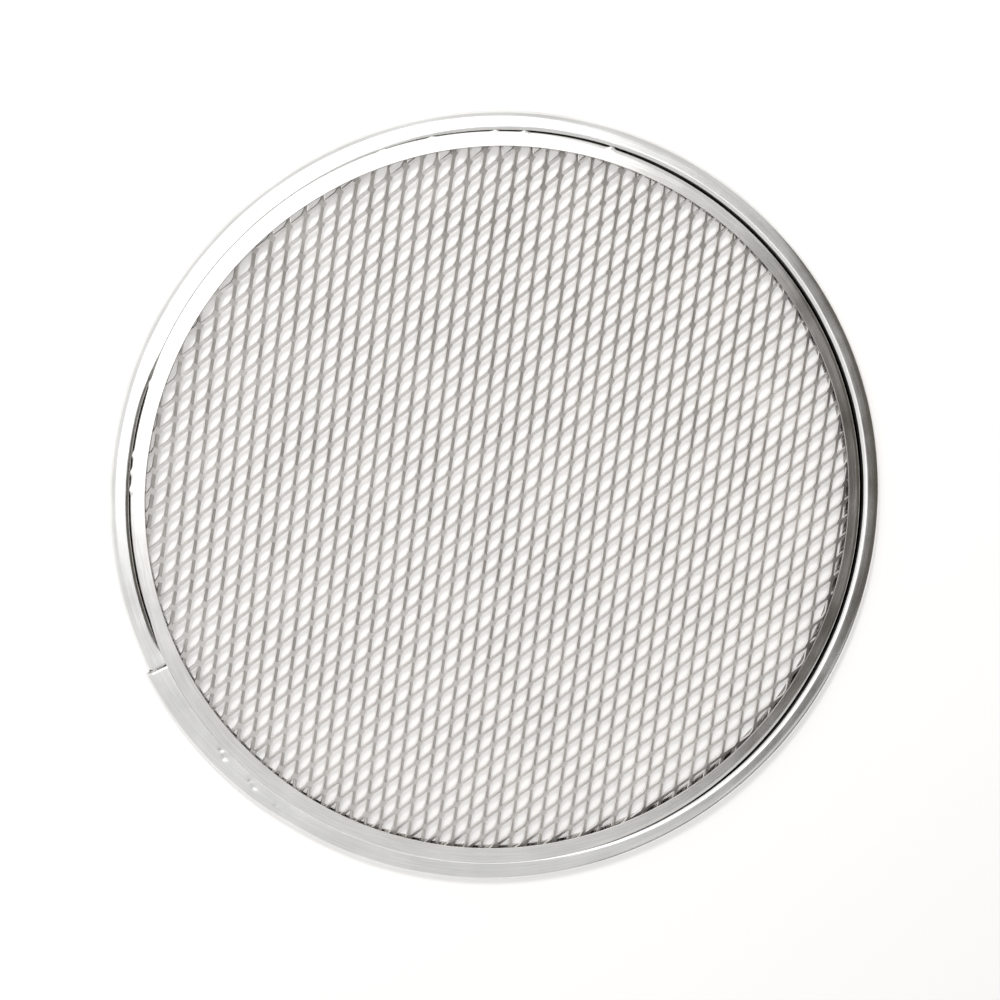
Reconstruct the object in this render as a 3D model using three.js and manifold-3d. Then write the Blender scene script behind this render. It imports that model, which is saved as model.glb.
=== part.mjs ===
// Pizza screen: a disc of expanded aluminium whose edge is clamped between two pressed rings,
// with a rolled hoop closed over the edges of both rings and lapped at its ends.
// Millimetres and degrees, +Z up, origin on the resting surface under the centre of the disc.
import * as THREE from "three";
import { mergeVertices } from "three/addons/utils/BufferGeometryUtils.js";
import Module from "manifold-3d";

const wasm = await Module();
wasm.setup();

// Expanded sheet. The diamonds are about one and a half times the size of the real ones.
const longWay = 22; // pitch of the diamonds along their long diagonal
const shortWay = 10.2; // pitch along their short diagonal
const strandWidth = 2.3; // width of the strip of sheet between two slits
const sheetThickness = 0.9;
const strandTilt = 22; // lean of the strands out of the flat sheet
const bondLength = 2.8; // length of the solid joint between two neighbouring diamonds
const meshTurn = 2; // turn of the long diagonal from +X

// Clamp rings
const ringThickness = 0.6;
const flangeWidth = 4.4; // raised flat that shows beside the mesh
const flangeRise = 0.85; // height of that flat over the seat that clamps the mesh
const stepWidth = 0.6; // radial length of the slope between them
const meshClearance = 0.1; // mesh to each seat
const meshInset = 3.5; // edge of the mesh inside the edge of the rings

// Rolled hoop
const rimDiameter = 305;
const stripThickness = 0.5;
const crestFlat = 2.4; // flat rolled on the top and on the bottom of the bead
const lipReach = 1.7; // radial reach of a lip beyond the flat
const lipGap = 0.25; // edge of a lip over the seat of its ring
const grooveWidth = 1.7; // open groove between a lip and the flange
const hollowRoom = 0.6; // free height over the clamped edge inside the hoop
const ringEdgeRoom = 0.3; // edge of the rings to the lapped end inside the hoop

// Lap of the hoop's ends
const lapStart = 147.5; // direction of the cut outer end, from +X
const lapAngle = 22.5; // stretch over which the outer end lies on the tongue
const lapEase = 10; // stretch over which it comes back into line
const lapStandOff = 1.8; // outer end standing out at its cut edge
const lapSwell = 0.7; // outer end standing out over the tip of the tongue
const tongueRoom = 0.2; // tongue to the inside of the outer end
const neckAngle = 5; // swaged neck from which the tongue starts
const cutGap = 0.2; // angle left open between the cut edge and the rest of the hoop

// Facets
const turnSteps = 48; // round the whole rim
const roundAngles = [0, 30, 60, 90]; // points of a quarter round, from its outside to its crest
const boreAngles = [30, 90]; // the same inside the bead
const lipAngles = [45, 90]; // points of a lip, from the crest to its edge
const neckOverlap = 0.05; // depth by which the neck grows into the wall of the hoop

// Heights over the middle of the clamped mesh
const meshHalfHeight = strandWidth * Math.sin(THREE.MathUtils.degToRad(strandTilt));
const seatLow = meshHalfHeight + meshClearance;
const seatHigh = seatLow + ringThickness;
const lipEdge = seatHigh + lipGap;
const tongueBore = seatHigh + hollowRoom;
const tongueRound = tongueBore + stripThickness;
const beadBore = tongueRound + tongueRoom;
const beadRound = beadBore + stripThickness;

// Radii
const roundCentre = rimDiameter / 2 - beadRound;
const crestInner = roundCentre - crestFlat;
const lipInner = crestInner - lipReach;
const flangeOuter = lipInner - grooveWidth;
const flangeInner = flangeOuter - flangeWidth;
const stepOuter = flangeOuter + stepWidth;
const ringOuter = roundCentre + Math.sqrt(tongueBore ** 2 - seatHigh ** 2) - ringEdgeRoom;
const meshRadius = ringOuter - meshInset;

const aluminium = {
  mesh: new THREE.MeshStandardMaterial({ color: 0xb9b8b4, roughness: 0.42, metalness: 1 }),
  ring: new THREE.MeshStandardMaterial({ color: 0xc8c7c4, roughness: 0.38, metalness: 1 }),
  hoop: new THREE.MeshStandardMaterial({ color: 0xd2d1ce, roughness: 0.28, metalness: 1 }),
};

// Point of a radial section: radius and height over the middle of the mesh.
function at(radius, height) {
  return new THREE.Vector2(radius, height);
}

// Closed geometry as a solid for joining and cutting.
function solidOf(geometry) {
  const bare = geometry.clone();
  bare.deleteAttribute("normal");
  bare.deleteAttribute("uv");
  const merged = mergeVertices(bare);
  return new wasm.Manifold(
    new wasm.Mesh({
      numProp: 3,
      vertProperties: merged.attributes.position.array,
      triVerts: new Uint32Array(merged.index.array),
    }),
  );
}

function geometryOf(solid) {
  const { vertProperties, triVerts } = solid.getMesh();
  const geometry = new THREE.BufferGeometry();
  geometry.setAttribute("position", new THREE.BufferAttribute(vertProperties, 3));
  geometry.setIndex(new THREE.BufferAttribute(triVerts, 1));
  geometry.computeVertexNormals();
  return geometry;
}

// Expanded sheet: rows of bonds, every other row moved by half a diamond. Each bond is a short lozenge bar
// with an upper and a lower corner and two middle points on each face. Four strands leave it, each from one
// half of the bond to the opposite half of the next one.
function expandedSheet(reach) {
  const tilt = THREE.MathUtils.degToRad(strandTilt);
  const corner = [strandWidth * Math.cos(tilt), strandWidth * Math.sin(tilt)];
  const face = [-(sheetThickness / 2) * Math.sin(tilt), (sheetThickness / 2) * Math.cos(tilt)];
  const positions = [];
  const triangles = [];
  const bonds = new Map();

  function addPoint(x, y, z) {
    positions.push(x, y, z);
    return positions.length / 3 - 1;
  }

  const rows = Math.ceil((2 * reach) / shortWay);
  const columns = Math.ceil(reach / longWay);
  for (let row = -rows; row <= rows; row++) {
    for (let column = -2 * columns; column <= 2 * columns; column++) {
      const x = (column * longWay) / 2;
      const y = (row * shortWay) / 2;
      if ((row + column) % 2 !== 0 || Math.hypot(x, y) > reach) continue;
      bonds.set(`${row},${column}`, {
        row,
        column,
        up: addPoint(x, y + corner[0], corner[1]),
        down: addPoint(x, y - corner[0], -corner[1]),
        topLeft: addPoint(x - bondLength / 2, y + face[0], face[1]),
        topRight: addPoint(x + bondLength / 2, y + face[0], face[1]),
        underLeft: addPoint(x - bondLength / 2, y - face[0], -face[1]),
        underRight: addPoint(x + bondLength / 2, y - face[0], -face[1]),
      });
    }
  }

  const quad = (a, b, c, d) => triangles.push(a, b, c, a, c, d);
  for (const bond of bonds.values()) {
    const { up, down, topLeft, topRight, underLeft, underRight } = bond;
    triangles.push(topLeft, topRight, up, topLeft, down, topRight);
    triangles.push(underLeft, up, underRight, underLeft, underRight, down);

    // Strands that rise to the next row; a missing one leaves its root closed by a triangle.
    const right = bonds.get(`${bond.row + 1},${bond.column + 1}`);
    if (right) {
      quad(topRight, right.down, right.topLeft, up);
      quad(up, right.underLeft, right.down, underRight);
      triangles.push(underRight, right.down, topRight, up, right.topLeft, right.underLeft);
    } else {
      triangles.push(up, topRight, underRight);
    }
    const left = bonds.get(`${bond.row + 1},${bond.column - 1}`);
    if (left) {
      quad(topLeft, up, left.topRight, left.down);
      quad(underLeft, left.down, left.underRight, up);
      triangles.push(topLeft, left.down, underLeft, up, left.underRight, left.topRight);
    } else {
      triangles.push(topLeft, up, underLeft);
    }
    if (!bonds.has(`${bond.row - 1},${bond.column + 1}`)) triangles.push(topRight, down, underRight);
    if (!bonds.has(`${bond.row - 1},${bond.column - 1}`)) triangles.push(down, topLeft, underLeft);
  }

  const geometry = new THREE.BufferGeometry();
  geometry.setAttribute("position", new THREE.Float32BufferAttribute(positions, 3));
  geometry.setIndex(triangles);
  return geometry;
}

// Mesh disc: the expanded sheet trimmed round, without the offcuts.
function meshDisc() {
  const trimHeight = 4 * meshHalfHeight; // past both faces of the sheet
  const trim = new THREE.CylinderGeometry(meshRadius, meshRadius, trimHeight, turnSteps);
  trim.rotateX(Math.PI / 2);
  const sheet = expandedSheet(meshRadius + longWay);
  sheet.rotateZ(THREE.MathUtils.degToRad(meshTurn));
  const pieces = solidOf(sheet).intersect(solidOf(trim)).decompose();
  pieces.sort((a, b) => b.volume() - a.volume());
  return geometryOf(pieces[0]);
}

// Clamp ring: one pressed section with the raised flange, the slope and the seat, turned round the axis.
// The lower ring is the same section on the other side of the mesh.
function clampRing(side) {
  const section = [
    at(flangeInner, seatLow + flangeRise),
    at(flangeOuter, seatLow + flangeRise),
    at(stepOuter, seatLow),
    at(ringOuter, seatLow),
    at(ringOuter, seatHigh),
    at(stepOuter, seatHigh),
    at(flangeOuter, seatHigh + flangeRise),
    at(flangeInner, seatHigh + flangeRise),
  ];
  const profile = section.map((point) => at(point.x, side * point.y));
  if (side < 0) profile.reverse();
  profile.push(profile[0].clone());
  const geometry = new THREE.LatheGeometry(profile, turnSteps);
  geometry.rotateX(Math.PI / 2);
  return geometry;
}

// Points of a quarter round from the outside of the bead to its crest.
function roundPoints(radius, angles) {
  return angles.map((angle) => {
    const turn = THREE.MathUtils.degToRad(angle);
    return at(roundCentre + radius * Math.cos(turn), radius * Math.sin(turn));
  });
}

// Points of a lip, a quarter ellipse from the crest down to the lip's edge.
function lipPoints(top, angles) {
  return angles.map((angle) => {
    const turn = THREE.MathUtils.degToRad(angle);
    return at(crestInner - lipReach * Math.sin(turn), lipEdge + (top - lipEdge) * Math.cos(turn));
  });
}

// Section of a strip from the points of the upper halves of its outer and inner faces.
function stripSection(outer, inner) {
  const mirrored = (points) => points.filter((p) => p.y !== 0).map((p) => at(p.x, -p.y));
  return [...mirrored(outer).reverse(), ...outer, ...[...inner].reverse(), ...mirrored(inner)];
}

// Strip carried round the axis through the given directions, standing off outwards as each direction asks.
function sweep(section, directions, standOffAt) {
  const positions = [];
  const triangles = [];
  const count = section.length;
  for (const direction of directions) {
    const turn = THREE.MathUtils.degToRad(direction);
    const move = standOffAt(direction);
    for (const point of section) {
      positions.push((point.x + move) * Math.cos(turn), (point.x + move) * Math.sin(turn), point.y);
    }
  }
  for (let step = 0; step < directions.length - 1; step++) {
    for (let index = 0; index < count; index++) {
      const here = step * count + index;
      const beside = step * count + ((index + 1) % count);
      triangles.push(here, here + count, beside, beside, here + count, beside + count);
    }
  }
  const last = (directions.length - 1) * count;
  for (const [a, b, c] of THREE.ShapeUtils.triangulateShape(section, [])) {
    triangles.push(a, b, c, last + a, last + c, last + b);
  }
  const geometry = new THREE.BufferGeometry();
  geometry.setAttribute("position", new THREE.Float32BufferAttribute(positions, 3));
  geometry.setIndex(triangles);
  return geometry;
}

// Directions from one to the other in equal steps.
function spread(from, to, steps) {
  return Array.from({ length: steps + 1 }, (_, step) => from + ((to - from) * step) / steps);
}

// Hoop: the C-shaped bead from its cut outer end once round, and the tongue that goes on from its swaged
// neck into that outer end.
function rimHoop() {
  const bead = stripSection(
    [
      ...roundPoints(beadRound, roundAngles),
      at(crestInner, beadRound),
      ...lipPoints(beadRound, lipAngles),
    ],
    [
      ...roundPoints(beadBore, boreAngles),
      at(crestInner, beadBore),
      at(lipInner + stripThickness, lipEdge),
    ],
  );
  const tongue = stripSection(roundPoints(tongueRound, roundAngles), roundPoints(tongueBore, roundAngles));
  const neck = stripSection(
    roundPoints(beadBore + neckOverlap, roundAngles),
    roundPoints(tongueBore, roundAngles),
  );

  const stepAngle = 360 / turnSteps;
  const stepsOver = (angle) => Math.ceil(angle / stepAngle);
  const lapEnd = lapStart + lapAngle;
  const easeEnd = lapEnd + lapEase;
  const turnEnd = lapStart + 360 - cutGap;
  const outerEnd = [...spread(lapStart, lapEnd, stepsOver(lapAngle)), easeEnd];
  const aroundCount = stepsOver(turnEnd - easeEnd) - 1;
  const around = Array.from({ length: aroundCount }, (_, step) => easeEnd + (step + 1) * stepAngle);
  const tongueStart = turnEnd - neckAngle;
  const tongueEnd = lapEnd + 360;

  function standOff(direction) {
    const past = direction - lapStart;
    if (past <= lapAngle) return lapStandOff + ((lapSwell - lapStandOff) * past) / lapAngle;
    return lapSwell * Math.max(0, 1 - (past - lapAngle) / lapEase);
  }
  const inLine = () => 0;

  const hoop = solidOf(sweep(bead, [...outerEnd, ...around, turnEnd], standOff))
    .add(solidOf(sweep(neck, [tongueStart, turnEnd - neckAngle / 2], inLine)))
    .add(solidOf(sweep(tongue, spread(tongueStart, tongueEnd, stepsOver(tongueEnd - tongueStart)), inLine)));
  return geometryOf(hoop);
}

function named(name, geometry, material) {
  const mesh = new THREE.Mesh(geometry, material);
  mesh.name = name;
  return mesh;
}

// All pieces are made round the middle of the mesh and lifted so that the bead rests on its lower flat.
const screen = new THREE.Group();
screen.position.z = beadRound;
screen.add(
  named("mesh_disc", meshDisc(), aluminium.mesh),
  named("upper_clamp_ring", clampRing(1), aluminium.ring),
  named("lower_clamp_ring", clampRing(-1), aluminium.ring),
  named("rim_hoop", rimHoop(), aluminium.hoop),
);

export default screen;
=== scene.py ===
"""Pizza screen: the expanded aluminium disc, its two clamp rings and the rolled hoop round them."""
import math

import bpy
import numpy as np
from mathutils import Matrix, Vector


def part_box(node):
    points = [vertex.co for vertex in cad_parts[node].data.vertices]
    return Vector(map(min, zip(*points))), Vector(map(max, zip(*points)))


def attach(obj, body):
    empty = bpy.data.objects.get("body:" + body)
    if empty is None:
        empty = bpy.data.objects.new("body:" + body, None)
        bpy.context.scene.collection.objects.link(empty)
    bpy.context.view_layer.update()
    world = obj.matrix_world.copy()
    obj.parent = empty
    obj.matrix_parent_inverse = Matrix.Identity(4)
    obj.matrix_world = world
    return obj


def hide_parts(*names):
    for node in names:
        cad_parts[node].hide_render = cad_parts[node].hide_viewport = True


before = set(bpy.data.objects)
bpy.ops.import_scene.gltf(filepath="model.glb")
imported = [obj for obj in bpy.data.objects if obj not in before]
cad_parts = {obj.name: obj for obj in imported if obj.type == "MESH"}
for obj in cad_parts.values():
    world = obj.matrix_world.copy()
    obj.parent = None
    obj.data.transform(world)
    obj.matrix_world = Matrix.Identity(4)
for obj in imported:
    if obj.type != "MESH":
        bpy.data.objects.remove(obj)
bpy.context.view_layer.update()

# Expanded mesh disc
# Thin aluminium sheet, slit in staggered rows and stretched until every slit opens into a diamond.
# The stretching leans all strands the same way. The disc is blanked round, and the rings press its edge flat.
diamond_long = 0.01414
diamond_short = 0.00653
strand_width = 0.00150
sheet_thickness = 0.0009
bond_length = 0.0022
strand_lean = math.radians(24)
lean_spread = math.radians(2.5)
lean_limit = 1.5
lean_seed = 7
flat_from, flat_full = 0.1385, 0.1435
stub_least, stub_most = 0.1, 0.9
mesh_turn = math.radians(2)
mesh_dark, mesh_light = (0.80, 0.775, 0.75), (0.90, 0.875, 0.85)
mesh_smooth, mesh_rough = 0.38, 0.48
mesh_streaks, mesh_blotches = (900, 900, 900), (60, 60, 60)
mesh_bump = 0.25
mesh_metallic = 0.92
bump_depth = 0.0002
streak_detail, blotch_detail = 4.0, 3.0
tone_dark_at, tone_light_at = 0.75, 1.25
smooth_at, rough_at = 0.3, 0.7
mesh_low, mesh_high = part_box("mesh_disc")
mesh_middle = (mesh_low.z + mesh_high.z) / 2
mesh_radius = mesh_high.x
UNDER, TOP = 0, 1
LEFT, RIGHT = 0, 1
LOW, MIDDLE, HIGH = 0, 1, 2


def smooth_step(low, high, value):
    """Nought below low, one above high, and between them the cubic that is level at both ends."""
    share = np.clip((value - low) / (high - low), 0, 1)
    return share * share * (3 - 2 * share)


def bond_centres(radius):
    """Centres of the bonds inside a radius: every second point of a grid of half diamonds, row by row."""
    columns = math.ceil(2 * radius / diamond_long) + 2
    rows = math.ceil(2 * radius / diamond_short) + 2
    row, column = np.mgrid[-rows:rows + 1, -columns:columns + 1]
    centre = np.stack([column * diamond_long / 2, row * diamond_short / 2], axis=-1)
    kept = ((row + column) % 2 == 0) & (np.hypot(centre[..., 0], centre[..., 1]) < radius)
    number = np.where(kept, np.cumsum(kept).reshape(kept.shape) - 1, -1)
    return centre[kept], np.argwhere(kept), number


def bond_points(centre, lean):
    """Twelve points of each bond: two ends along the slit, three places across the leaning strip, two faces.
    Across the strip a point moves by the cosine and sine of the lean, through the sheet by their normal."""
    end = np.array([-0.5, 0.5])[None, :, None, None] * bond_length
    across = np.array([-1.0, 0.0, 1.0])[None, None, :, None] * strand_width
    through = np.array([-0.5, 0.5])[None, None, None, :] * sheet_thickness
    cos, sin = np.cos(lean)[:, None, None, None], np.sin(lean)[:, None, None, None]
    places = np.broadcast_arrays(centre[:, 0, None, None, None] + end,
                                 centre[:, 1, None, None, None] + across * cos - through * sin,
                                 across * sin + through * cos)
    return np.stack(places, axis=-1)


def bond_quads(corner):
    """Faces of the bonds: two on top and two underneath, and one along each edge of the strip."""
    quads = []
    for lower, upper in ((LOW, MIDDLE), (MIDDLE, HIGH)):
        quads.append(np.stack([corner[:, LEFT, lower, TOP], corner[:, RIGHT, lower, TOP],
                               corner[:, RIGHT, upper, TOP], corner[:, LEFT, upper, TOP]], axis=-1))
        quads.append(np.stack([corner[:, LEFT, lower, UNDER], corner[:, LEFT, upper, UNDER],
                               corner[:, RIGHT, upper, UNDER], corner[:, RIGHT, lower, UNDER]], axis=-1))
    quads.append(np.stack([corner[:, LEFT, HIGH, UNDER], corner[:, LEFT, HIGH, TOP],
                           corner[:, RIGHT, HIGH, TOP], corner[:, RIGHT, HIGH, UNDER]], axis=-1))
    quads.append(np.stack([corner[:, LEFT, LOW, UNDER], corner[:, RIGHT, LOW, UNDER],
                           corner[:, RIGHT, LOW, TOP], corner[:, LEFT, LOW, TOP]], axis=-1))
    return quads


def strand_section(corner, end, lower, upper):
    """Point numbers of the four corners of a strand's root on each bond, in order round the strand."""
    return np.stack([corner[:, end, lower, UNDER], corner[:, end, lower, TOP],
                     corner[:, end, upper, TOP], corner[:, end, upper, UNDER]], axis=-1)


def wall_quads(before, after):
    """Four side faces between two sections of a strand that follow each other along +X."""
    walls = np.stack([before, after, np.roll(after, -1, axis=1), np.roll(before, -1, axis=1)], axis=-1)
    return walls.reshape(-1, 4)


def cut_strands(roots, way, step_row):
    """End points of strands cut off at the blanked circle. The share of the run that is left is the larger
    root of the quadratic for a straight line that meets a circle."""
    run = np.array([way * (diamond_long / 2 - bond_length), step_row * diamond_short / 2, 0])
    run[1] -= step_row * strand_width * math.cos(strand_lean)
    middle = roots.mean(axis=1)[:, :2]
    square = run[:2] @ run[:2]
    along = middle @ run[:2]
    inside = mesh_radius ** 2 - (middle ** 2).sum(axis=1)
    share = np.clip((np.sqrt(along ** 2 + square * inside) - along) / square, stub_least, stub_most)
    return roots + share[:, None, None] * run


def expanded_disc():
    """Points and faces of the whole sheet. A strand runs straight from the upper or lower half of one bond to
    the other half of the next. At the blanked edge it is cut where it meets the circle."""
    centre, place, number = bond_centres(mesh_radius - bond_length)
    jitter = np.random.default_rng(lean_seed).normal(0, 1, len(centre))
    lean = strand_lean + lean_spread * np.clip(jitter, -lean_limit, lean_limit)
    lean = lean * (1 - smooth_step(flat_from, flat_full, np.hypot(centre[:, 0], centre[:, 1])))
    bonds = bond_points(centre, lean)
    points = [bonds.reshape(-1, 3)]
    count = len(points[0])
    corner = np.arange(count).reshape(bonds.shape[:-1])
    quads = bond_quads(corner)
    upper_half, lower_half = (MIDDLE, HIGH), (LOW, MIDDLE)
    for step_row, halves, next_halves in ((1, upper_half, lower_half), (-1, lower_half, upper_half)):
        for way, end, next_end in ((1, RIGHT, LEFT), (-1, LEFT, RIGHT)):
            neighbour = number[place[:, 0] + step_row, place[:, 1] + way]
            root = strand_section(corner, end, *halves)
            if way == 1:
                joined = neighbour >= 0
                finish = strand_section(corner[neighbour[joined]], next_end, *next_halves)
                quads.append(wall_quads(root[joined], finish))
            start = root[neighbour < 0]
            stub = cut_strands(points[0][start], way, step_row)
            tip = count + np.arange(stub[..., 0].size).reshape(-1, 4)
            count += tip.size
            points.append(stub.reshape(-1, 3))
            walls = wall_quads(start, tip)
            quads.append(walls if way == 1 else walls[:, ::-1])
            quads.append(tip[:, ::-1] if way == 1 else tip)

    points = np.concatenate(points)
    cos, sin = math.cos(mesh_turn), math.sin(mesh_turn)
    turned = np.column_stack([points[:, 0] * cos - points[:, 1] * sin,
                              points[:, 0] * sin + points[:, 1] * cos,
                              points[:, 2] + mesh_middle])
    return turned, np.concatenate(quads)


def piece_from(name, points, quads, smooth, corner_uv=None):
    """Mesh object from an array of points and one of four-cornered faces, with a UV map if one is given."""
    mesh = bpy.data.meshes.new(name)
    mesh.vertices.add(len(points))
    mesh.vertices.foreach_set("co", np.ascontiguousarray(points, dtype=np.float32).ravel())
    mesh.loops.add(quads.size)
    mesh.loops.foreach_set("vertex_index", np.ascontiguousarray(quads, dtype=np.int32).ravel())
    mesh.polygons.add(len(quads))
    mesh.polygons.foreach_set("loop_start", np.arange(0, quads.size, 4, dtype=np.int32))
    mesh.polygons.foreach_set("use_smooth", np.full(len(quads), smooth))
    if corner_uv is not None:
        layer = mesh.uv_layers.new(name="strip")
        layer.uv.foreach_set("vector", np.ascontiguousarray(corner_uv, dtype=np.float32).ravel())
    mesh.update(calc_edges=True)
    mesh.validate()
    piece = bpy.data.objects.new(name, mesh)
    bpy.context.scene.collection.objects.link(piece)
    return piece


def reckon(tree, kind, operation, *values):
    """New math or vector math node of a node tree, fed in order by outputs of other nodes or plain values."""
    node = tree.nodes.new(kind)
    node.operation = operation
    for socket, value in zip(node.inputs, values):
        if isinstance(value, bpy.types.NodeSocket):
            tree.links.new(value, socket)
        else:
            socket.default_value = value
    return node


def spread_range(tree, value, values):
    """New map range node of a node tree on an output, with the named ends of its two ranges."""
    node = tree.nodes.new("ShaderNodeMapRange")
    for name, end in values.items():
        node.inputs[name].default_value = end
    tree.links.new(value, node.inputs["Value"])
    return node


def aluminium_group():
    """Bare aluminium: long streaks from rolling and soft blotches from the oven give the tone and the
    roughness. The streaks also give a height for a bump."""
    group = bpy.data.node_groups.new("bare_aluminium", "ShaderNodeTree")
    for name, kind in (("Streak Place", "NodeSocketVector"), ("Blotch Place", "NodeSocketVector"),
                       ("Dark", "NodeSocketColor"), ("Light", "NodeSocketColor"),
                       ("Smooth", "NodeSocketFloat"), ("Rough", "NodeSocketFloat")):
        group.interface.new_socket(name, in_out="INPUT", socket_type=kind)
    for name, kind in (("Color", "NodeSocketColor"), ("Roughness", "NodeSocketFloat"),
                       ("Height", "NodeSocketFloat")):
        group.interface.new_socket(name, in_out="OUTPUT", socket_type=kind)
    nodes, links = group.nodes, group.links
    inside = nodes.new("NodeGroupInput")
    outside = nodes.new("NodeGroupOutput")
    streak = nodes.new("ShaderNodeTexNoise")
    streak.inputs["Scale"].default_value = 1.0
    streak.inputs["Detail"].default_value = streak_detail
    links.new(inside.outputs["Streak Place"], streak.inputs["Vector"])
    blotch = nodes.new("ShaderNodeTexNoise")
    blotch.inputs["Scale"].default_value = 1.0
    blotch.inputs["Detail"].default_value = blotch_detail
    links.new(inside.outputs["Blotch Place"], blotch.inputs["Vector"])
    both = reckon(group, "ShaderNodeMath", "ADD", streak.outputs["Fac"], blotch.outputs["Fac"])
    tone = spread_range(group, both.outputs["Value"], {"From Min": tone_dark_at, "From Max": tone_light_at})
    colour = nodes.new("ShaderNodeMix")
    colour.data_type = "RGBA"
    links.new(tone.outputs["Result"], colour.inputs["Factor"])
    links.new(inside.outputs["Dark"], colour.inputs["A"])
    links.new(inside.outputs["Light"], colour.inputs["B"])
    rough = spread_range(group, blotch.outputs["Fac"], {"From Min": smooth_at, "From Max": rough_at})
    links.new(inside.outputs["Smooth"], rough.inputs["To Min"])
    links.new(inside.outputs["Rough"], rough.inputs["To Max"])
    links.new(colour.outputs["Result"], outside.inputs["Color"])
    links.new(rough.outputs["Result"], outside.inputs["Roughness"])
    links.new(streak.outputs["Fac"], outside.inputs["Height"])
    return group


bare_aluminium = aluminium_group()


def aluminium_material(name, coords, streak_scale, blotch_scale, dark, light, smooth, rough, bump,
                       metallic=1.0):
    """Metal with the bare aluminium group on object coordinates or along the strip's own UV map."""
    material = bpy.data.materials.new(name)
    material.use_nodes = True
    nodes, links = material.node_tree.nodes, material.node_tree.links
    metal = nodes["Principled BSDF"]
    metal.inputs["Metallic"].default_value = metallic
    place = nodes.new("ShaderNodeTexCoord")
    stretched = nodes.new("ShaderNodeMapping")
    stretched.inputs["Scale"].default_value = streak_scale
    links.new(place.outputs[coords], stretched.inputs["Vector"])
    spread = nodes.new("ShaderNodeMapping")
    spread.inputs["Scale"].default_value = blotch_scale
    links.new(place.outputs["Object"], spread.inputs["Vector"])
    surface = nodes.new("ShaderNodeGroup")
    surface.node_tree = bare_aluminium
    surface.inputs["Dark"].default_value = (*dark, 1)
    surface.inputs["Light"].default_value = (*light, 1)
    surface.inputs["Smooth"].default_value = smooth
    surface.inputs["Rough"].default_value = rough
    links.new(stretched.outputs["Vector"], surface.inputs["Streak Place"])
    links.new(spread.outputs["Vector"], surface.inputs["Blotch Place"])
    raised = nodes.new("ShaderNodeBump")
    raised.inputs["Strength"].default_value = bump
    raised.inputs["Distance"].default_value = bump_depth
    links.new(surface.outputs["Height"], raised.inputs["Height"])
    links.new(surface.outputs["Color"], metal.inputs["Base Color"])
    links.new(surface.outputs["Roughness"], metal.inputs["Roughness"])
    links.new(raised.outputs["Normal"], metal.inputs["Normal"])
    return material, surface


mesh_points, mesh_quads = expanded_disc()
mesh_disc = piece_from("expanded_mesh", mesh_points, mesh_quads, False)
mesh_metal, _ = aluminium_material(
    "expanded_aluminium", "Object", mesh_streaks, mesh_blotches, mesh_dark, mesh_light,
    mesh_smooth, mesh_rough, mesh_bump, mesh_metallic)
mesh_disc.data.materials.append(mesh_metal)
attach(mesh_disc, "root")
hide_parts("mesh_disc")

# Clamp rings
# Two rings pressed from aluminium sheet, one over and one under the mesh. A seat clamps the mesh's edge, and
# further in a raised flat flange shows beside the diamonds. The roller that closed the hoop has pressed the
# upper flange unevenly: the groove beside it is open on one side, and elsewhere nearly shut.
ring_thickness = 0.0006
flange_width = 0.0044
step_width = 0.0006
groove_fill = 0.00168
shut_places = np.radians([6, 20, 34, 50, 66, 98, 106, 140, 146, 215, 252, 272, 340])
shut_shares = np.array([0.2, 0.35, 0.5, 0.75, 0.86, 0.9, 0.5, 0.4, 0.97, 0.97, 0.35, 0, 0])
crimp_width = math.radians(0.42)
crimp_angles = np.radians([119.6, 117.0, 114.3, 103.2, 52.5, 44.8, 35.1, 30.6, 17.0])
ring_stations = 900
flange_points, step_points, seat_points = 5, 7, 4
edge_points = 5
edge_squareness = 0.22
edge_hold = 0.00012
flange_wave = 0.00008
flange_turns, flange_starts = (5, 13, 29), (0.7, 2.1, 0)
wave_shift = 40
ring_dark, ring_light = (0.75, 0.735, 0.715), (0.88, 0.865, 0.845)
ring_smooth, ring_rough = 0.14, 0.24
ring_streaks, ring_blotches = (60, 1500, 1), (45, 45, 45)
ring_bump = 0.12
# Painted shade: the groove and the flange's inner edge are darkened in colour, more on one side of the rim.
groove_shade_colour = (0.030, 0.028, 0.025)
shade_way = math.radians(-62)
shade_least = 0.45
shade_weak_at, shade_strong_at = 0.2, 0.9
shade_from, shade_full = 0.00018, 0.00060
edge_shade, edge_shade_width = 0.9, 0.0004


def node_radii(node):
    """Smallest and largest radius among a node's points."""
    points = np.array([vertex.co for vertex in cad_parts[node].data.vertices])
    radius = np.hypot(points[:, 0], points[:, 1])
    return radius.min(), radius.max()


def swept_quads(stations, around, closed):
    """Faces of a grid with one row a station of the path and one column a point of the closed section."""
    row = np.arange(stations if closed else stations - 1)[:, None]
    column = np.arange(around)[None, :]
    after = (row + 1) % stations
    beside = (column + 1) % around
    return np.stack([row * around + column, after * around + column,
                     after * around + beside, row * around + beside], axis=-1).reshape(-1, 4)


def swept_uv(path_length, section_length):
    """UV of each face corner of such a grid: metres along the path and metres round the section."""
    path, section = np.meshgrid(path_length, section_length, indexing="ij")
    grid = np.stack([path, section], axis=-1)
    return np.stack([grid[:-1, :-1], grid[1:, :-1], grid[1:, 1:], grid[:-1, 1:]], axis=2).reshape(-1, 2)


def section_lengths(section):
    """Length round a closed section at each of its points, and back at the first one."""
    loop = np.concatenate([section, section[:1]])
    return np.concatenate([[0], np.cumsum(np.hypot(*np.diff(loop, axis=0).T))])


def rim_closing(angle):
    """How far the roller has closed the rim: a broken line through places round it."""
    return np.interp(angle, shut_places, shut_shares, period=2 * math.pi)


def groove_shut(angle):
    """Share of the groove that is shut: the closing of the rim, and a bell curve up to one for each crimp."""
    closing = rim_closing(angle)
    apart = (angle[:, None] - crimp_angles + math.pi) % (2 * math.pi) - math.pi
    crimp = np.exp(-(apart / crimp_width) ** 2).max(axis=1)
    return closing + (1 - closing) * crimp


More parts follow.
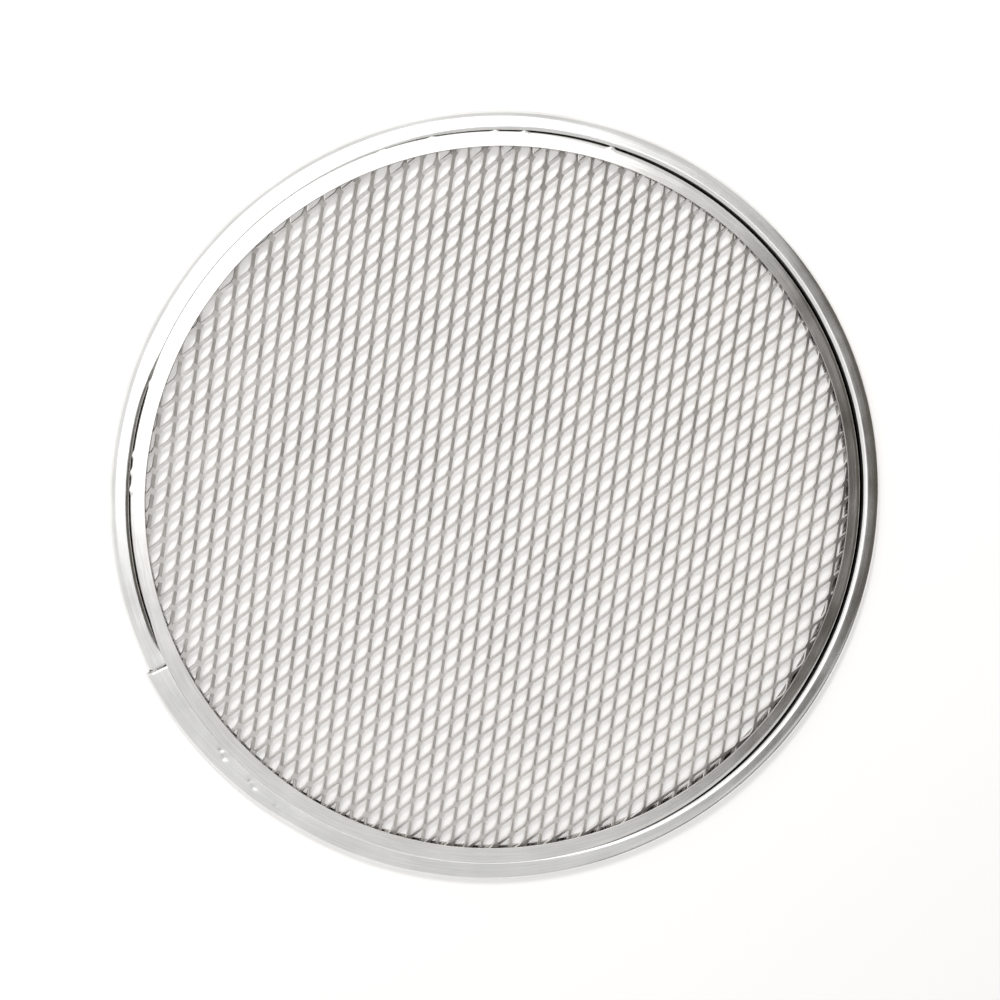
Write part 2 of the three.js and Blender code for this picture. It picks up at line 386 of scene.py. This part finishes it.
def ring_section(side, inner, outer, flange_outer, seat, rise):
    """Closed section of a ring at each station: a strip of one thickness whose height falls by the rise over
    the step. Its cut edges are superellipses, nearly square. The lower ring mirrors it."""
    edge = np.full(len(flange_outer), inner + ring_thickness / 2)
    end = np.full(len(flange_outer), outer - ring_thickness / 2)
    foot = flange_outer + step_width
    radius = np.concatenate([edge[:, None],
                             np.linspace(edge + edge_hold, flange_outer, flange_points, axis=1)[:, :-1],
                             np.linspace(flange_outer, foot, step_points, axis=1),
                             np.linspace(foot, end, seat_points, axis=1)[:, 1:]], axis=1)
    fall = smooth_step(flange_outer[:, None], foot[:, None], radius)
    line = np.stack([radius, seat + ring_thickness / 2 + rise * (1 - fall)], axis=-1)
    run = np.gradient(line, axis=1)
    normal = np.stack([-run[..., 1], run[..., 0]], axis=-1) / np.linalg.norm(run, axis=-1)[..., None]
    lower = line - normal * ring_thickness / 2
    upper = line + normal * ring_thickness / 2
    turn = np.radians(np.linspace(-90, 90, edge_points + 2))[1:-1, None]
    bow = np.concatenate([np.cos(turn), np.sin(turn)], axis=1)
    bow = np.sign(bow) * np.abs(bow) ** edge_squareness * ring_thickness / 2
    section = np.concatenate([lower, line[:, -1:] + bow, upper[:, ::-1],
                              line[:, :1] + bow[::-1] * [-1, 1]], axis=1)
    return section if side > 0 else section[:, ::-1] * [1, -1]


def slow_wave(angle, turns, starts):
    """Uneven wave round the rim: three sines of so many turns, each weaker than the one before it."""
    shares = (0.5, 0.3, 0.2)
    return sum(share * np.sin(turn * angle + start) for share, turn, start in zip(shares, turns, starts))


def clamp_ring(name, side):
    """Ring carried round the axis. The flange rises and falls by a slow wave that dies out at the seat."""
    inner, outer = node_radii(name)
    low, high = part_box(name)
    near, far = (low.z, high.z) if side > 0 else (high.z, low.z)
    seat = abs(near - mesh_middle)
    rise = abs(far - mesh_middle) - seat - ring_thickness
    angle = np.arange(ring_stations) / ring_stations * 2 * math.pi
    flange_outer = inner + flange_width + groove_fill * groove_shut(angle) * (side > 0)
    section = ring_section(side, inner, outer, flange_outer, seat, rise)
    wave = slow_wave(angle, flange_turns, flange_starts)
    loose = 1 - smooth_step(inner + flange_width / 2, inner + flange_width, section[..., 0])
    lift = -side * flange_wave * (1 + wave[:, None]) * loose / 2
    radius = section[..., 0] + flange_wave * np.roll(wave, wave_shift)[:, None] * loose
    points = np.stack([radius * np.cos(angle)[:, None], radius * np.sin(angle)[:, None],
                       mesh_middle + section[..., 1] + lift], axis=-1).reshape(-1, 3)
    along = np.arange(ring_stations + 1) / ring_stations * 2 * math.pi * (inner + flange_width)
    piece = piece_from(name + "_sheet", points, swept_quads(ring_stations, section.shape[1], True), True,
                       swept_uv(along, section_lengths(section[0])))
    piece.data.materials.append(ring_metal)
    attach(piece, "root")
    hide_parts(name)


def paint_groove_shade(material, surface, clean, full, start):
    """Painted shade past the start radius: the colour goes to a near-black shade colour by height from the
    middle, from the clean height down to the full one, and a little on the flange's inner edge. The painted
    shade is strongest on one side and weakens with its cosine."""
    tree = material.node_tree
    nodes, links = tree.nodes, tree.links
    place = nodes.new("ShaderNodeTexCoord").outputs["Object"]
    parts = nodes.new("ShaderNodeSeparateXYZ")
    links.new(place, parts.inputs["Vector"])
    apart = reckon(tree, "ShaderNodeMath", "SUBTRACT", parts.outputs["Z"], mesh_middle)
    height = reckon(tree, "ShaderNodeMath", "ABSOLUTE", apart.outputs["Value"])
    mask = spread_range(tree, height.outputs["Value"], {"From Min": clean, "From Max": full})
    level = reckon(tree, "ShaderNodeVectorMath", "MULTIPLY", place, (1, 1, 0))
    radius = reckon(tree, "ShaderNodeVectorMath", "LENGTH", level.outputs["Vector"])
    past = reckon(tree, "ShaderNodeMath", "GREATER_THAN", radius.outputs["Value"], start)
    deep = reckon(tree, "ShaderNodeMath", "MULTIPLY", mask.outputs["Result"], past.outputs["Value"])
    edge = spread_range(tree, radius.outputs["Value"], {"From Min": flange_inner + edge_shade_width,
                                                        "From Max": flange_inner, "To Max": edge_shade})
    either = reckon(tree, "ShaderNodeMath", "MAXIMUM", deep.outputs["Value"], edge.outputs["Result"])
    toward_side = (math.cos(shade_way) / ring_outer, math.sin(shade_way) / ring_outer, 0)
    side = reckon(tree, "ShaderNodeVectorMath", "DOT_PRODUCT", place, toward_side)
    shade_strength = spread_range(tree, side.outputs["Value"], {"From Min": shade_weak_at, "From Max": shade_strong_at,
                                                       "To Min": shade_least})
    amount = reckon(tree, "ShaderNodeMath", "MULTIPLY", either.outputs["Value"], shade_strength.outputs["Result"])
    shaded_colour = nodes.new("ShaderNodeMix")
    shaded_colour.data_type = "RGBA"
    shaded_colour.inputs["B"].default_value = (*groove_shade_colour, 1)
    links.new(amount.outputs["Value"], shaded_colour.inputs["Factor"])
    links.new(surface.outputs["Color"], shaded_colour.inputs["A"])
    links.new(shaded_colour.outputs["Result"], nodes["Principled BSDF"].inputs["Base Color"])


flange_inner, ring_outer = node_radii("upper_clamp_ring")
flange_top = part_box("upper_clamp_ring")[1].z - mesh_middle
ring_metal, ring_surface = aluminium_material(
    "pressed_aluminium", "UV", ring_streaks, ring_blotches, ring_dark, ring_light,
    ring_smooth, ring_rough, ring_bump)
# Paint shade into the groove and onto the flange's inner edge, stronger on one side.
paint_groove_shade(ring_metal, ring_surface, flange_top - shade_from, flange_top - shade_full,
              flange_inner + flange_width / 2)
clamp_ring("upper_clamp_ring", 1)
clamp_ring("lower_clamp_ring", -1)

# Rolled hoop
# A strip of bright aluminium rolled into a C-shaped bead and closed over the edges of both rings. Its ends
# lap: one end is swaged to a tongue that slides into the other. Where the groove is shut, its top is rolled
# nearly level with the flange. A crimp lifts only the edge of its lip. A few dents lie near the lap.
strip_thickness = 0.0005
crest_flat = 0.0024
lip_reach = 0.0017
lip_gap = 0.00025
lip_climb = 0.00055
lip_bend = math.radians(84)
crest_over_flange = 0.00005
flat_closing = (0.4, 0.95)
lap_start = math.radians(147.5)
lap_angle = math.radians(22.5)
lap_ease = math.radians(10)
lap_stand_off = 0.0018
lap_swell = 0.0007
tongue_room = 0.0002
neck_angle = math.radians(5)
cut_gap = math.radians(0.2)
hoop_stations = 900
tongue_stations = 60
bow_points, crest_points, lip_points = 13, 4, 9
tongue_bow_points = 17
crest_wave = 0.00010
crest_turns, crest_starts = (7, 17, 41), (1.0, 0.4, 0)
hoop_dark, hoop_light = (0.76, 0.755, 0.745), (0.90, 0.895, 0.885)
hoop_smooth, hoop_rough = 0.18, 0.28
hoop_streaks, hoop_blotches = (40, 1800, 1), (50, 50, 50)
hoop_bump = 0.12
dent_angles = np.radians([176.4, 175.4, 170.9, 169.9, 164.4, 163.2])
dent_radii = np.array([0.1500, 0.1484, 0.1480, 0.1468, 0.1474, 0.1461])
dent_spread = 0.0011
dent_depth = 0.00042
hoop_low, hoop_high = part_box("rim_hoop")
bead_round = (hoop_high.z - hoop_low.z) / 2
hoop_middle = (hoop_high.z + hoop_low.z) / 2
round_centre = hoop_high.x - bead_round
crest_inner = round_centre - crest_flat
lip_inner = crest_inner - lip_reach
seat_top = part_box("upper_clamp_ring")[0].z + ring_thickness - hoop_middle
lip_edge = seat_top + lip_gap
crest_drop = bead_round - flange_top - crest_over_flange


def strip_section(outer, thickness):
    """Closed section of a strip from the line of its outside, at each station: the same line, moved in
    along its normals, goes back."""
    slope = np.gradient(outer, axis=1)
    normal = np.stack([slope[..., 1], -slope[..., 0]], axis=-1) / np.linalg.norm(slope, axis=-1)[..., None]
    return np.concatenate([outer, (outer - normal * thickness)[:, ::-1]], axis=1)


def crest_height(angle):
    """Height of the upper crest over the middle: it falls to just over the flange where the rim is closed."""
    return bead_round - crest_drop * smooth_step(*flat_closing, rim_closing(angle))


def half_outside(top, edge, reach):
    """Outside of one half of the bead at each station: a quarter ellipse from the outermost point up to the
    crest, the crest's flat, and a quarter ellipse down to the lip's edge."""
    turn = np.radians(np.linspace(0, 90, bow_points))
    flat = np.linspace(round_centre, crest_inner, crest_points)[1:]
    lip_turn = np.linspace(0, lip_bend, lip_points)[1:]
    top, edge, reach = top[:, None], edge[:, None], reach[:, None]
    every_station = np.zeros_like(top)
    radius = np.concatenate([every_station + round_centre + bead_round * np.cos(turn),
                             every_station + flat,
                             crest_inner - reach * np.sin(lip_turn)], axis=1)
    height = np.concatenate([top * np.sin(turn),
                             top + np.zeros_like(flat),
                             edge + (top - edge) * np.cos(lip_turn)], axis=1)
    return np.stack([radius, height], axis=-1)


def bead_outside(angle, move):
    """Outside of the bead at each station, from lower lip to upper lip. The upper lip's edge is higher where
    the groove is shut. Where the bead is moved outwards, the lips reach back by as much."""
    reach = lip_reach + move
    upper = half_outside(crest_height(angle), lip_edge + lip_climb * groove_shut(angle), reach)
    lower = half_outside(np.full(len(angle), bead_round), np.full(len(angle), lip_edge), reach)
    return np.concatenate([lower[:, :0:-1] * [1, -1], upper], axis=1)


def stand_off(angle):
    """How far the hoop stands out past its cut end: falling along the lap, then easing back into line."""
    past = angle - lap_start
    on_lap = lap_stand_off + (lap_swell - lap_stand_off) * past / lap_angle
    easing = lap_swell * (1 - smooth_step(lap_angle, lap_angle + lap_ease, past))
    return np.where(past <= lap_angle, on_lap, easing)


def strip_along(section, angle, move):
    """Points of a section at each station, carried round the axis and moved outwards."""
    radius = section[..., 0] + move
    height = hoop_middle + section[..., 1]
    places = np.broadcast_arrays(radius * np.cos(angle)[:, None], radius * np.sin(angle)[:, None], height)
    return np.stack(places, axis=-1).reshape(-1, 3)


def end_quads(count, first, facing):
    """Faces that close the end of a strip between its outside and its inside."""
    step = np.arange(count // 2 - 1)
    cap = first + np.stack([step, step + 1, count - 2 - step, count - 1 - step], axis=-1)
    return cap if facing < 0 else cap[:, ::-1]


def strip_quads(stations, count):
    """Faces of an open strip: the sweep of its section and its two ends."""
    return np.concatenate([swept_quads(stations, count, False),
                           end_quads(count, 0, -1),
                           end_quads(count, (stations - 1) * count, 1)])


def strip_uv(angle, section, quads):
    """UV of an open strip: metres along it and round its section, and nought on the faces of its ends."""
    uv = swept_uv((angle - angle[0]) * hoop_high.x, section_lengths(section[0]))
    return np.concatenate([uv, np.zeros((quads.size - len(uv), 2))])


def dents(angle, radius):
    """Depth of the dents at each point of each station: a bell curve round the place of each dent."""
    across = radius[..., None] - dent_radii
    along = (angle[:, None, None] - dent_angles) * dent_radii
    return dent_depth * np.exp(-(across ** 2 + along ** 2) / dent_spread ** 2).sum(axis=-1)


def rolled_bead():
    """Bead from the cut end once round, with a slow wave in the crest's inner side and dents in its top."""
    angle = np.linspace(lap_start, lap_start + 2 * math.pi - cut_gap, hoop_stations)
    move = stand_off(angle)
    section = strip_section(bead_outside(angle, move), strip_thickness)
    section[..., 1] -= (section[..., 1] > 0) * dents(angle, section[..., 0] + move[:, None])
    wave = slow_wave(angle, crest_turns, crest_starts)
    inner_side = smooth_step(round_centre, lip_inner, section[..., 0])
    points = strip_along(section, angle, move[:, None] + crest_wave * wave[:, None] * inner_side)
    quads = strip_quads(*section.shape[:2])
    return points, quads, strip_uv(angle, section, quads)


def swaged_tongue():
    """Tongue: a smaller half round, as flat on top as the hoop, from the neck into the hoop's outer end."""
    angle = np.linspace(lap_start - cut_gap - neck_angle, lap_start + lap_angle, tongue_stations)
    wall = strip_thickness + tongue_room
    bore = bead_round - wall
    turn = np.radians(np.linspace(-90, 90, tongue_bow_points))
    tall = np.where(turn > 0, crest_height(angle)[:, None] - wall, bore)
    radius = np.broadcast_to(round_centre + bore * np.cos(turn), tall.shape)
    outside = np.stack([radius, tall * np.sin(turn)], axis=-1)
    section = strip_section(outside, strip_thickness)
    quads = strip_quads(*section.shape[:2])
    return strip_along(section, angle, 0), quads, strip_uv(angle, section, quads)


bead_points, bead_quads, bead_uv = rolled_bead()
tongue_points, tongue_quads, tongue_uv = swaged_tongue()
rim_hoop = piece_from(
    "rolled_hoop", np.concatenate([bead_points, tongue_points]),
    np.concatenate([bead_quads, tongue_quads + len(bead_points)]), True,
    np.concatenate([bead_uv, tongue_uv]))
hoop_metal, _ = aluminium_material(
    "rolled_aluminium", "UV", hoop_streaks, hoop_blotches, hoop_dark, hoop_light,
    hoop_smooth, hoop_rough, hoop_bump)
rim_hoop.data.materials.append(hoop_metal)
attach(rim_hoop, "root")
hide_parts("rim_hoop")

# Floor
# A plain white table that the screen lies on. It is set a hair below the resting face, so that the two
# don't fight for the same place.
floor_size = 6.0
floor_drop = 0.0001
floor_colour = (0.885, 0.87, 0.85)
floor_lift = 0.36
floor_half = floor_size / 2
floor_corners = ((-floor_half, -floor_half), (floor_half, -floor_half),
                 (floor_half, floor_half), (-floor_half, floor_half))
floor_points = np.array([(*corner, -floor_drop) for corner in floor_corners])
floor = piece_from("floor", floor_points, np.array([[0, 1, 2, 3]]), False)


def floor_material():
    """Matt white that shows the object's shadow. Part of it is plain white to the eye and in reflections."""
    material = bpy.data.materials.new("pale_floor")
    material.use_nodes = True
    tree = material.node_tree
    nodes, links = tree.nodes, tree.links
    nodes.remove(nodes["Principled BSDF"])
    matt = nodes.new("ShaderNodeBsdfDiffuse")
    matt.inputs["Color"].default_value = (*floor_colour, 1)
    white = nodes.new("ShaderNodeEmission")
    ray = nodes.new("ShaderNodeLightPath").outputs
    seen = reckon(tree, "ShaderNodeMath", "MAXIMUM", ray["Is Camera Ray"], ray["Is Glossy Ray"])
    also = reckon(tree, "ShaderNodeMath", "MAXIMUM", seen.outputs["Value"], ray["Is Transmission Ray"])
    share = reckon(tree, "ShaderNodeMath", "MULTIPLY", also.outputs["Value"], floor_lift)
    blend = nodes.new("ShaderNodeMixShader")
    links.new(share.outputs["Value"], blend.inputs["Fac"])
    links.new(matt.outputs["BSDF"], blend.inputs[1])
    links.new(white.outputs["Emission"], blend.inputs[2])
    links.new(blend.outputs["Shader"], nodes["Material Output"].inputs["Surface"])
    return material


floor.data.materials.append(floor_material())

# Light
# A large soft box hangs level over the upper left of the picture, and a small lamp, kept out of reflections,
# shines from its top. The pale room is lighter at the left. A dark flag at the right, with a low wing at the
# lower right, gives the metal something dark to reflect.
picture_turn = math.radians(-56.6)
box_height = 1.0
box_size = 1.06
box_right, box_up = -0.285, 0.38
box_radiance = 1.05
lamp_way = picture_turn + math.radians(110)
lamp_zenith = math.radians(38)
lamp_distance = 1.2
lamp_size = 0.20
lamp_radiance = 60.0
room_way = picture_turn + math.radians(160)
room_dim, room_bright = 0.65, 0.90
flag_distance = 0.8
flag_height = 3.2
foot_far, foot_near = 0.6, -0.25
head_far, head_near = -0.05, -1.2
wing_reach, wing_height = -2.6, 0.65
wing_root_height = wing_height / 3
flag_tone = (0.085, 0.077, 0.064)


def toward(way, zenith):
    """Unit vector at an angle round the axis and an angle from straight up."""
    return Vector((math.sin(zenith) * math.cos(way), math.sin(zenith) * math.sin(way), math.cos(zenith)))


def square_lamp(name, size, radiance, place, turn):
    """Square lamp of even radiance: its power is pi times its area times that radiance."""
    light = bpy.data.lights.new(name, "AREA")
    light.shape = "SQUARE"
    light.size = size
    light.energy = math.pi * size ** 2 * radiance
    lamp = bpy.data.objects.new(name, light)
    lamp.location = place
    lamp.rotation_euler = turn
    bpy.context.scene.collection.objects.link(lamp)
    return lamp


picture_right = toward(picture_turn, math.pi / 2)
picture_up = toward(picture_turn + math.pi / 2, math.pi / 2)
box_place = picture_right * box_right + picture_up * box_up + Vector((0, 0, box_height))
square_lamp("soft_box", box_size, box_radiance, box_place, (0, 0, picture_turn))
lamp_side = toward(lamp_way, lamp_zenith)
top_lamp = square_lamp("top_light", lamp_size, lamp_radiance, lamp_side * lamp_distance,
                       lamp_side.to_track_quat("Z", "Y").to_euler())
top_lamp.visible_glossy = False


def pale_room():
    """Even room whose strength goes from dim to bright with the cosine of the angle to its bright side."""
    world = bpy.data.worlds.new("pale_room")
    world.use_nodes = True
    tree = world.node_tree
    place = tree.nodes.new("ShaderNodeTexCoord").outputs["Generated"]
    facing = reckon(tree, "ShaderNodeVectorMath", "DOT_PRODUCT", place, toward(room_way, math.pi / 2))
    strength = spread_range(tree, facing.outputs["Value"],
                            {"From Min": -1.0, "To Min": room_dim, "To Max": room_bright})
    backdrop = tree.nodes["Background"]
    backdrop.inputs["Color"].default_value = (1, 1, 1, 1)
    tree.links.new(strength.outputs["Result"], backdrop.inputs["Strength"])
    return world


bpy.context.scene.world = pale_room()

flag_corners = ((foot_far, 0), (foot_near, 0), (head_near, flag_height), (head_far, flag_height),
                (wing_reach, 0), (wing_reach, wing_height), (foot_near, wing_root_height))
flag_place = picture_right * flag_distance
flag_points = [flag_place + picture_up * along + Vector((0, 0, high)) for along, high in flag_corners]
flag = piece_from("dark_flag", np.array(flag_points), np.array([[0, 1, 2, 3], [1, 4, 5, 6]]), False)
flag_cloth = bpy.data.materials.new("flag_cloth")
flag_cloth.use_nodes = True
flag_face = flag_cloth.node_tree.nodes["Principled BSDF"]
flag_face.inputs["Base Color"].default_value = (*flag_tone, 1)
flag_face.inputs["Roughness"].default_value = 1.0
flag.data.materials.append(flag_cloth)
flag.visible_camera = False

# Camera
# It looks nearly straight down, a little from the upper left of the picture, from two thirds of a metre.
# The aim is moved a few millimetres so that the disc lies where the picture has it.
camera_way = picture_turn + math.radians(132.3)
camera_zenith = math.radians(10.9)
camera_distance = 0.650
sensor_width = 36.0
focal_share = 1.6436
aim_left = 0.0018
aim_up = 0.0022
nearest_seen = 0.01
back = toward(camera_way, camera_zenith)
up = (picture_up - back * picture_up.dot(back)).normalized()
right = up.cross(back)
lens = bpy.data.cameras.new("photo_camera")
lens.sensor_width = sensor_width
lens.lens = sensor_width * focal_share
lens.clip_start = nearest_seen
camera = bpy.data.objects.new("photo_camera", lens)
turn = Matrix((right, up, back)).transposed().to_4x4()
camera.matrix_world = Matrix.Translation(back * camera_distance - right * aim_left + up * aim_up) @ turn
bpy.context.scene.collection.objects.link(camera)
bpy.context.scene.camera = camera
bpy.context.scene.view_settings.view_transform = "Standard"
